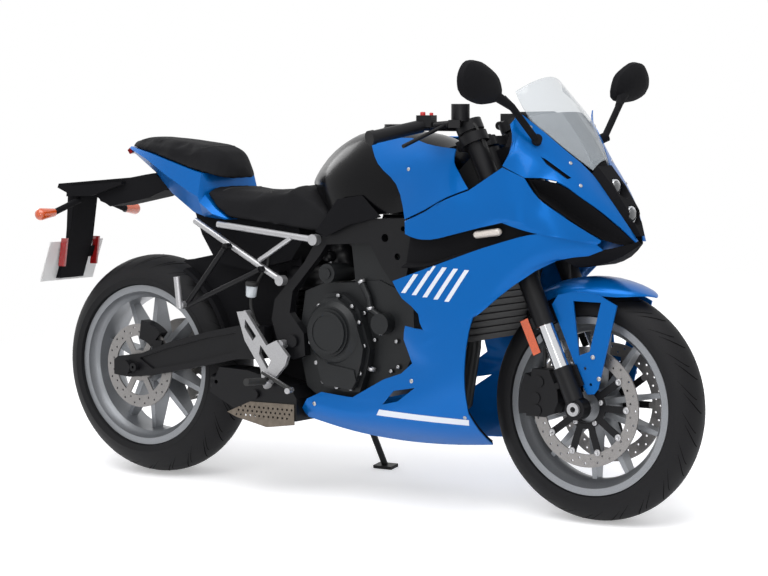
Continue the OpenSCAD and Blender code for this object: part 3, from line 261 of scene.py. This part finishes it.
def smoother(angle):
    """Modifier group: rounds the shading over shallow edges, keeps the sharp ones."""
    g = bpy.data.node_groups.new("smooth_%d" % angle, "GeometryNodeTree")
    g.interface.new_socket("Geometry", in_out="INPUT", socket_type="NodeSocketGeometry")
    g.interface.new_socket("Geometry", in_out="OUTPUT", socket_type="NodeSocketGeometry")
    gi, go = g.nodes.new("NodeGroupInput"), g.nodes.new("NodeGroupOutput")
    rem = g.nodes.new("GeometryNodeRemoveAttribute")
    rem.inputs["Name"].default_value = "custom_normal"
    merge = g.nodes.new("GeometryNodeMergeByDistance")
    merge.inputs["Distance"].default_value = 0.00002
    faces = g.nodes.new("GeometryNodeSetShadeSmooth")
    faces.domain = "FACE"
    edges = g.nodes.new("GeometryNodeSetShadeSmooth")
    edges.domain = "EDGE"
    edges.inputs["Shade Smooth"].default_value = False
    ang = g.nodes.new("GeometryNodeInputMeshEdgeAngle")
    cmp = g.nodes.new("ShaderNodeMath")
    cmp.operation = "GREATER_THAN"
    cmp.inputs[1].default_value = math.radians(angle)
    g.links.new(gi.outputs[0], rem.inputs["Geometry"])
    g.links.new(rem.outputs["Geometry"], merge.inputs["Geometry"])
    g.links.new(merge.outputs["Geometry"], faces.inputs["Geometry"])
    g.links.new(faces.outputs["Geometry"], edges.inputs["Geometry"])
    g.links.new(ang.outputs["Unsigned Angle"], cmp.inputs[0])
    g.links.new(cmp.outputs[0], edges.inputs["Selection"])
    g.links.new(edges.outputs["Geometry"], go.inputs[0])
    return g


SMOOTH = {a: smoother(a) for a in (28, 50)}
ROUND = {"fuel_tank": 50, "rider_seat": 50, "passenger_seat": 50, "windscreen": 50, "front_fender": 50}
PAINT = {"tank_trim": "black_plastic", "exhaust_headers": "engine_grey"}
slots = {s["node"]: s["material_slot"] for s in frame["record"]["subparts"]}
for name, ob in frame["nodes"].items():
    ob.data.materials.clear()
    ob.data.materials.append(MAT[PAINT.get(name, slots[name])])
    m = ob.modifiers.new("smooth", "NODES")
    m.node_group = SMOOTH[ROUND.get(name, 28)]


def second(node, mat, test):
    """Gives the faces of a CAD node whose middle passes test (upright bike, mm) another material."""
    ob = frame["nodes"][node]
    ob.data.materials.append(mat)
    k = len(ob.data.materials) - 1
    for p in ob.data.polygons:
        c = UNPARK @ p.center * 1000
        if test(c.x, c.y, c.z):
            p.material_index = k


def leg_height(x, z):
    """Height along the fork leg above the front axle."""
    return -(x - FRONT_X) * math.sin(RAKE) + (z - FRONT_Z) * math.cos(RAKE)


def leg_off(x, y, z):
    """Distance from the middle line of the nearer fork leg."""
    ahead = (x - FRONT_X) * math.cos(RAKE) + (z - FRONT_Z) * math.sin(RAKE)
    return math.hypot(ahead, abs(y) - 105)


second("fork_legs", EXTRA["chrome"], lambda x, y, z: 112 < leg_height(x, z) < 228 and leg_off(x, y, z) < 23)
second("passenger_pegs", MAT["silver"], lambda x, y, z: abs(y) > 177.5 and z > 495)
second("footrests", EXTRA["rubber"], lambda x, y, z: abs(y) > 186 and z > 304)
second("turn_signals", EXTRA["dark_plate"], lambda x, y, z: x < 0 and abs(y) < 165)
second("turn_signals", EXTRA["amber"], lambda x, y, z: x < 0 and abs(y) >= 165)

second("front_discs", MAT["black_metal"], lambda x, y, z: math.hypot(x - FRONT_X, z - FRONT_Z) < 112)
second("mirrors", EXTRA["chrome"], lambda x, y, z: x < 594.5 and abs(y) > 285)
second("dash_panel", EXTRA["cowl"],
       lambda x, y, z: x > 592 and abs(y) > 36.2 and z - 1046 > -1.15 * (x - 610) - 22)
second("fork_legs", EXTRA["amber"], lambda x, y, z: abs(y) > 126.5 and 168 < leg_height(x, z) < 262)

SURFACE = {}


def surface(node):
    """Search tree of a CAD node's faces in the upright bike's mm."""
    if node not in SURFACE:
        mesh = frame["nodes"][node].data
        pts = [UNPARK @ v.co * 1000 for v in mesh.vertices]
        SURFACE[node] = BVHTree.FromPolygons(pts, [list(q.vertices) for q in mesh.polygons])
    return SURFACE[node]


def cast(node, x, z, side):
    """Outermost point and normal of a node at x, z, seen from the right (-1) or left (1)."""
    hit = surface(node).ray_cast(Vector((x, side * 600, z)), Vector((0, -side, 0)))
    return (hit[0], hit[1] if hit[1].y * side > 0 else -hit[1]) if hit[0] else (None, None)


def piece(name, bm, mat, body, smooth=True):
    """A piece made in the upright bike's mm, put in the row frame."""
    mesh = bpy.data.meshes.new(name)
    bmesh.ops.transform(bm, matrix=PARK @ Matrix.Scale(0.001, 4), verts=bm.verts)
    bm.to_mesh(mesh)
    bm.free()
    ob = bpy.data.objects.new(name, mesh)
    scene.collection.objects.link(ob)
    mesh.materials.append(mat)
    for q in mesh.polygons:
        q.use_smooth = smooth
    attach(ob, body)
    return ob


def circle(bm, at, u, w, r, n):
    """Ring of n vertices round at, in the plane of the unit vectors u and w."""
    turns = [2 * math.pi * k / n for k in range(n)]
    return [bm.verts.new(at + (u * math.cos(t) + w * math.sin(t)) * r) for t in turns]


def lathe(bm, at, axis, profile, n=20):
    """Surface of revolution round axis from (height, radius) pairs."""
    axis = Vector(axis).normalized()
    u = axis.orthogonal().normalized()
    w = axis.cross(u)
    rings = []
    for h, r in profile:
        if r <= 0:
            rings.append([bm.verts.new(Vector(at) + axis * h)])
        else:
            rings.append(circle(bm, Vector(at) + axis * h, u, w, r, n))
    for a, b in zip(rings, rings[1:]):
        for k in range(n):
            q = [a[k % len(a)], a[(k + 1) % len(a)], b[(k + 1) % len(b)], b[k % len(b)]]
            q = [v for j, v in enumerate(q) if v not in q[:j]]
            if len(q) > 2:
                bm.faces.new(q)


def screw(bm, at, axis, r=6.0):
    """Domed screw head with a sunk hexagon."""
    lathe(bm, at, axis, [(-0.5, r), (r * 0.25, r), (r * 0.45, r * 0.8), (r * 0.5, r * 0.5)], 18)
    lathe(bm, at, axis, [(r * 0.5, r * 0.5), (r * 0.15, r * 0.46), (r * 0.15, 0)], 6)


def wire(bm, pts, r, n=8):
    """Round cord through smooth points."""
    pts = [Vector(q) for q in pts]
    fine = []
    for i in range(len(pts) - 1):
        a, b = pts[i], pts[i + 1]
        p0 = pts[i - 1] if i else a * 2 - b
        p3 = pts[i + 2] if i + 2 < len(pts) else b * 2 - a
        for k in range(6):
            t = k / 6
            bend = (2 * p0 - 5 * a + 4 * b - p3) * t * t + (3 * a - p0 - 3 * b + p3) * t ** 3
            fine.append(0.5 * ((2 * a) + (b - p0) * t + bend))
    fine.append(pts[-1])
    rings = []
    side = (fine[1] - fine[0]).orthogonal().normalized()
    for i, q in enumerate(fine):
        d = (fine[min(i + 1, len(fine) - 1)] - fine[max(i - 1, 0)]).normalized()
        side = (side - d * side.dot(d)).normalized()
        w = d.cross(side)
        rings.append(circle(bm, q, side, w, r, n))
    for a, b in zip(rings, rings[1:]):
        for k in range(n):
            bm.faces.new((a[k], a[(k + 1) % n], b[(k + 1) % n], b[k]))
    for ring in (rings[0], rings[-1]):
        bm.faces.new(ring)


def fairing(side):
    return "fairing_right" if side < 0 else "fairing_left"


# fairing fasteners: node, x, z, head radius
FASTENERS = [("fairing", 463, 850, 6), ("fairing", 275, 347, 6), ("fairing", -71, 258, 6),
             ("nose_sides", 621, 1012, 5), ("nose_sides", 706, 922, 5), ("nose_sides", 742, 866, 5),
             ("tank_covers", 262, 900, 5), ("fairing", 436, 262, 5), ("fairing", 300, 700, 5)]
bm = bmesh.new()
for what, x, z, r in FASTENERS:
    for side in (-1, 1):
        at, n = cast(fairing(side) if what == "fairing" else what, x, z, side)
        if at:
            screw(bm, at, n, r)
piece("fairing_screws", bm, MAT["silver"], "chassis")
bm = bmesh.new()
for x, z in ((768, 432), (786, 378)):
    for side in (-1, 1):
        at, n = cast("front_fender", x, z, side)
        if at:
            screw(bm, at, n, 6)
piece("fender_screws", bm, MAT["silver"], "steering")

# zinc bolts round the clutch cover, on the cases and on the cylinder block
COVER_BOLTS = [(-90, 424), (-70, 367), (-46, 315), (2, 302), (52, 301), (84, 346), (98, 424), (80, 490),
               (56, 534), (8, 562), (-60, 530)]
CASE_BOLTS = [(76, 510), (110, 440), (180, 440), (163, 359), (186, 372), (128, 320)]
bm = bmesh.new()
for x, z in COVER_BOLTS:
    screw(bm, (8 + (x - 8) * 0.95, -144.2, 430 + (z - 430) * 0.95), (0, -1, 0), 5.6)
for x, z in CASE_BOLTS:
    screw(bm, (x, -118.5, z), (0, -1, 0), 5.2)
for x, z in ((206, 430), (118, 574), (150, 560), (111, 715), (60, 596)):
    at, n = cast("cylinder_block", x, z, -1)
    if at:
        screw(bm, at, n, 6)
piece("engine_screws", bm, MAT["silver"], "chassis")

# tread: curved grooves in pairs, leaning with the direction of travel; not cut into the tyre but laid on it
# as thin strips of darker, duller rubber, painted shade of the grooves
TREADS = [("front_wheel", FRONT_X, FRONT_Z, 61, 22, 52), ("rear_wheel", REAR_X, REAR_Z, 93, 26, 44)]
for wheel, x0, z0, crown, count, reach in TREADS:
    bm = bmesh.new()
    rc = z0 - crown
    for k in range(count):
        for s in (-1, 1):
            for lead, a0, a1, w in ((0.0, 6, reach, 3.6), (0.42, 20, reach + 8, 2.6)):
                row = []
                for i in range(13):
                    t = i / 12
                    a = math.radians(a0 + (a1 - a0) * t) * s
                    step = k + lead + (0.5 if s > 0 else 0)
                    th = 2 * math.pi * step / count + math.radians(11) * (t ** 1.4)
                    taper = 0.35 + 0.65 * math.sin(math.pi * min(1, 0.12 + t)) ** 0.5
                    half = w * 0.5 * taper / (rc + crown)
                    r = rc + (crown + 0.35) * math.cos(a)
                    y = (crown + 0.35) * math.sin(a)
                    edges = (th - half, th + half)
                    row.append([bm.verts.new((x0 + r * math.cos(e), y, z0 + r * math.sin(e))) for e in edges])
                for a, b in zip(row, row[1:]):
                    bm.faces.new((a[0], a[1], b[1], b[0]))
    piece(wheel + "_tread_painted_shade", bm, EXTRA["groove_shade"], wheel)

# disc bobbins and carrier bolts
BOBBIN = [(-0.4, 8.6), (1.4, 8.6), (2.2, 7.4), (2.2, 3.4), (0.6, 3.2), (0.6, 0)]
for side in (-1, 1):
    bm = bmesh.new()
    for k in range(10):
        t = math.radians(36 * k)
        at = (FRONT_X + 120 * math.cos(t), side * 69.9, FRONT_Z + 120 * math.sin(t))
        lathe(bm, at, (0, side, 0), BOBBIN, 20)
    for k in range(5):
        t = math.radians(72 * k + 18)
        screw(bm, (FRONT_X + 48 * math.cos(t), side * 68.6, FRONT_Z + 48 * math.sin(t)), (0, side, 0), 7)
    piece("disc_bolts_" + ("left" if side > 0 else "right"), bm, MAT["silver"], "front_wheel")


def decal(name, quads, mat, steps=(16, 6)):
    """Stripes laid on both side panels: corner x, z of each band, in order round it."""
    bm = bmesh.new()
    for side in (-1, 1):
        for q in quads:
            grid = []
            for i in range(steps[0] + 1):
                u = i / steps[0]
                row = []
                for j in range(steps[1] + 1):
                    v = j / steps[1]
                    x = (1 - u) * ((1 - v) * q[0][0] + v * q[3][0]) + u * ((1 - v) * q[1][0] + v * q[2][0])
                    z = (1 - u) * ((1 - v) * q[0][1] + v * q[3][1]) + u * ((1 - v) * q[1][1] + v * q[2][1])
                    at, n = cast(fairing(side), x, z, side)
                    row.append(bm.verts.new(at + n * 0.5) if at else None)
                grid.append(row)
            for a, b in zip(grid, grid[1:]):
                for j in range(steps[1]):
                    f = (a[j], a[j + 1], b[j + 1], b[j])
                    if all(f) and max((f[m].co - f[m - 1].co).length for m in range(4)) < 45:
                        bm.faces.new(f)
    return piece(name, bm, mat, "chassis")


def bar(k):
    """Corners of the kth slanted bar."""
    x, foot, head = k * 34, 580 - k * 4, 656 - k * 2
    return [(262 + x, foot), (276 + x, foot), (338 + x, head), (324 + x, head)]


# plain slanted bars on the wing and one long stripe along the belly
decal("side_stripes", [bar(k) for k in range(5)], EXTRA["stripe"])
decal("belly_stripe", [[(150, 246), (440, 240), (446, 256), (160, 262)]], EXTRA["stripe"], (40, 3))

# lamp insides: bright ring round a dark lens in each pocket
bm, dark = bmesh.new(), bmesh.new()
for x, z in ((766, 857), (812, 790)):
    lathe(bm, (x + 11.5, 0, z), (1, 0, 0), [(0, 22.5), (2.2, 22.3), (3.2, 20.5), (0.6, 18.6)], 40)
    lathe(dark, (x + 12, 0, z), (1, 0, 0), [(0, 18), (4.5, 16.5), (7.5, 12), (9, 6), (9.4, 0)], 40)
piece("lamp_rings", bm, EXTRA["chrome"], "chassis")
piece("lamp_glass", dark, EXTRA["projector"], "chassis")

# red switch buttons on the right bar
bm = bmesh.new()
for x, y, z, r in ((333, -219, 1045, 7), (344, -196, 1043, 5)):
    lathe(bm, (x, y, z), (0, 0, 1), [(-6, r), (3, r), (4.5, r * 0.8), (5, 0)], 18)
piece("bar_buttons", bm, EXTRA["red"], "steering")

# brake hose from the master cylinder to the lower clamp, and one to each caliper, all on the steered parts
bm = bmesh.new()
wire(bm, [(404, -126, 1024), (428, -124, 1018), (446, -116, 985), (460, -100, 930),
          (494, -76, 860), (548, -74, 780), (588, -80, 700)], 4)
for side in (-1, 1):
    wire(bm, [(590, side * 82, 700), (600, side * 76, 600), (618, side * 78, 500),
              (620, side * 82, 430), (622, side * 84, 396)], 4)
piece("brake_hoses", bm, EXTRA["rubber"], "steering")


# intake tracts and their box, dark behind the frame's openings
bm = bmesh.new()
for side in (-1, 1):
    lathe(bm, (-36, side * 40, 612), (-0.35, 0, 1),
          [(0, 0), (0, 30), (8, 33), (30, 33), (34, 36), (62, 36), (66, 32), (104, 30), (104, 0)], 28)
lathe(bm, (-62, -104, 655), (0, 1, 0),
      [(0, 0), (0, 12), (14, 15), (60, 15), (148, 15), (194, 15), (208, 12), (208, 0)], 20)
lathe(bm, (-196, -66, 590), (0, 1, 0), [(0, 0), (0, 30), (8, 36), (124, 36), (132, 30), (132, 0)], 28)
piece("intake_tracts", bm, MAT["black_metal"], "chassis")


def sheet(bm, outline, y, thick):
    """Plate of an outline in x, z between y and y + thick."""
    rims = [[bm.verts.new((x, y + t, z)) for x, z in outline] for t in (0, thick)]
    for rim in rims:
        bm.faces.new(rim)
    for k in range(len(outline)):
        j = (k + 1) % len(outline)
        bm.faces.new((rims[0][k], rims[0][j], rims[1][j], rims[1][k]))


# inner mudguard ahead of the rear tyre, following it 18 mm off, and the cover of the shock's linkage
GUARD_R = 333
turns = [math.radians(t) for t in range(22, 69, 4)]
arc = [(REAR_X + GUARD_R * math.cos(t), REAR_Z + GUARD_R * math.sin(t)) for t in turns]
bm = bmesh.new()
for y in (-62, 58):
    sheet(bm, arc + [(-420, 655), (-180, 655), (-172, 600), (-196, 520), (-190, 430)], y, 4)
    sheet(bm, [(-262, 372), (-150, 380), (-128, 300), (-120, 262), (-200, 268), (-258, 300)], y, 4)
for a, b in zip(arc, arc[1:]):
    for k in (1.0, 1.012):
        quad = []
        for (x, z), y in ((a, -60), (a, 60), (b, 60), (b, -60)):
            quad.append(bm.verts.new((REAR_X + (x - REAR_X) * k, y, REAR_Z + (z - REAR_Z) * k)))
        bm.faces.new(quad)
piece("inner_mudguard", bm, MAT["black_plastic"], "chassis", smooth=False)

# dark backs on the inner face of the nose slots, and closed ends of the ducts below them
bm = bmesh.new()
for side in (-1, 1):
    rows = []
    for i in range(8):
        t = i / 7
        pair = []
        for w in (-13, 13):
            at, n = cast("nose_sides", 652 + 75 * t + 0.613 * w, 942 - 59.5 * t + 0.79 * w, side)
            if at:
                pair.append((at - n * 3.2, at - n * 5.0))
        if len(pair) == 2:
            rows.append([bm.verts.new(q) for q in (pair[0][0], pair[1][0], pair[1][1], pair[0][1])])
    for a, b in zip(rows, rows[1:]):
        for k in range(4):
            bm.faces.new((a[k], a[(k + 1) % 4], b[(k + 1) % 4], b[k]))
    for end in (rows[0], rows[-1]):
        bm.faces.new(end)
    cap = [(630, 182, 884), (622, 162, 902), (640, 152, 850), (660, 180, 839)]
    ends = [[bm.verts.new((x + d, side * y, z)) for x, y, z in cap] for d in (0, 2)]
    for k in range(4):
        bm.faces.new((ends[0][k], ends[0][(k + 1) % 4], ends[1][(k + 1) % 4], ends[1][k]))
    for end in ends:
        bm.faces.new(end)
piece("slot_backs", bm, MAT["black_plastic"], "chassis", smooth=False)

# rear brake's fluid reservoir with its cap and hose
bm = bmesh.new()
lathe(bm, (-306, -122, 534), (0.1, 0, 1), [(0, 0), (0, 11), (4, 15), (30, 17), (32, 17), (32, 0)], 24)
piece("brake_reservoir", bm, MAT["lamp"], "chassis")
bm = bmesh.new()
lathe(bm, (-302.8, -122, 566), (0.1, 0, 1), [(0, 0), (0, 18.5), (9, 18.5), (11, 16), (11, 0)], 24)
wire(bm, [(-306, -122, 536), (-305, -122, 505), (-290, -124, 470), (-262, -128, 440), (-250, -130, 400)], 4.5)
wire(bm, [(-300, -110, 560), (-290, -100, 590), (-268, -98, 620), (-262, -98, 650)], 4)
piece("reservoir_cap", bm, EXTRA["rubber"], "chassis")

# hose clamps on the water pipes
bm = bmesh.new()
CLAMPS = [((69, -121, 594), (0.5, 0, -0.9), 10.5), ((99, -122, 524), (0.2, 0, -1), 10.5),
          ((134, -128, 462), (0.3, 0, 1), 11), ((106, -126, 362), (0.3, 0, 1), 11)]
for at, axis, r in CLAMPS:
    lathe(bm, at, axis, [(-4, r - 2), (-4, r), (4, r), (4, r - 2)], 20)
piece("hose_clamps", bm, MAT["silver"], "chassis")


def cushion(node, cap, tuck):
    """Foam seat: the CAD form remeshed, swelled as cloth, held near its seat and smoothed."""
    src = frame["nodes"][node]
    mesh = src.data.copy()
    mesh.materials.clear()
    ob = bpy.data.objects.new(node + "_pad", mesh)
    scene.collection.objects.link(ob)
    ob.modifiers.clear()
    bpy.context.view_layer.objects.active = ob
    remesh = ob.modifiers.new("remesh", "REMESH")
    remesh.mode = "VOXEL"
    remesh.voxel_size = 0.006
    relax = ob.modifiers.new("relax", "CORRECTIVE_SMOOTH")
    relax.smooth_type = "LENGTH_WEIGHTED"
    relax.iterations = 10
    relax.use_only_smooth = True
    deps = bpy.context.evaluated_depsgraph_get()
    even = bpy.data.meshes.new_from_object(ob.evaluated_get(deps))
    ob.modifiers.clear()
    ob.data = even
    tilt = UNPARK.to_3x3()
    start = [v.co.copy() for v in even.vertices]
    normals = [v.normal.copy() for v in even.vertices]
    for v, n in zip(even.vertices, normals):
        v.co -= n * 0.002
    cloth = ob.modifiers.new("cloth", "CLOTH")
    cloth.settings.use_pressure = True
    cloth.settings.uniform_pressure_force = 4
    cloth.settings.quality = 4
    cloth.settings.effector_weights.gravity = 0
    cloth.point_cache.frame_start = 1
    cloth.point_cache.frame_end = 20
    for f in range(1, 21):
        scene.frame_set(f)
    deps = bpy.context.evaluated_depsgraph_get()
    blown = ob.evaluated_get(deps).to_mesh()
    moved = [v.co.copy() for v in blown.vertices]
    ob.evaluated_get(deps).to_mesh_clear()
    ob.modifiers.clear()
    scene.frame_set(1)
    for v, a, b, n in zip(even.vertices, start, moved, normals):
        top = max(0.0, (tilt @ n).z) ** 0.5
        d = b - a
        most = cap * top * tuck(UNPARK @ a * 1000)
        base = a - n * 0.0012
        v.co = base + (d.normalized() * min(d.length, most) if d.length > 1e-6 and most > 0 else Vector())
    sub = ob.modifiers.new("smooth", "SUBSURF")
    sub.levels = sub.render_levels = 1
    ob.data.materials.append(MAT["seat"])
    for q in ob.data.polygons:
        q.use_smooth = True
    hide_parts(node)
    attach(ob, "chassis")
    return ob


def ramp01(t):
    t = max(0.0, min(1.0, t))
    return t * t * (3 - 2 * t)


rider = cushion("rider_seat", 0.006, lambda c: ramp01((-205 - c.x) / 60) * ramp01((c.x + 462) / 40))
rear = cushion("passenger_seat", 0.007, lambda c: ramp01((c.x + 805) / 60) * ramp01((-440 - c.x) / 30))


def seam(name, ob, lines):
    """Stitched seams: a thin welt cast down on the finished pad."""
    deps = bpy.context.evaluated_depsgraph_get()
    tree = BVHTree.FromObject(ob, deps)
    down = (PARK.to_3x3() @ Vector((0, 0, -1))).normalized()
    bm = bmesh.new()
    for line in lines:
        pts = []
        for x, y in line:
            hit = tree.ray_cast(mm(x, y, 1100), down)
            if hit[0]:
                pts.append(UNPARK @ hit[0] * 1000 + Vector((0, 0, 0.2)))
        if len(pts) > 3:
            wire(bm, pts, 1.1, 6)
    return piece(name, bm, EXTRA["rubber"], "chassis")


def bow(x, depth, half):
    """Curved line across a seat at x, bowed by depth."""
    turns = [math.radians(a) for a in range(-90, 91, 12)]
    return [(x + depth * math.cos(t), half * math.sin(t)) for t in turns]


seam("rider_seams", rider, [bow(-250, -28, 96), bow(-430, 20, 88)])
seam("rear_seams", rear, [bow(-520, 26, 74)])
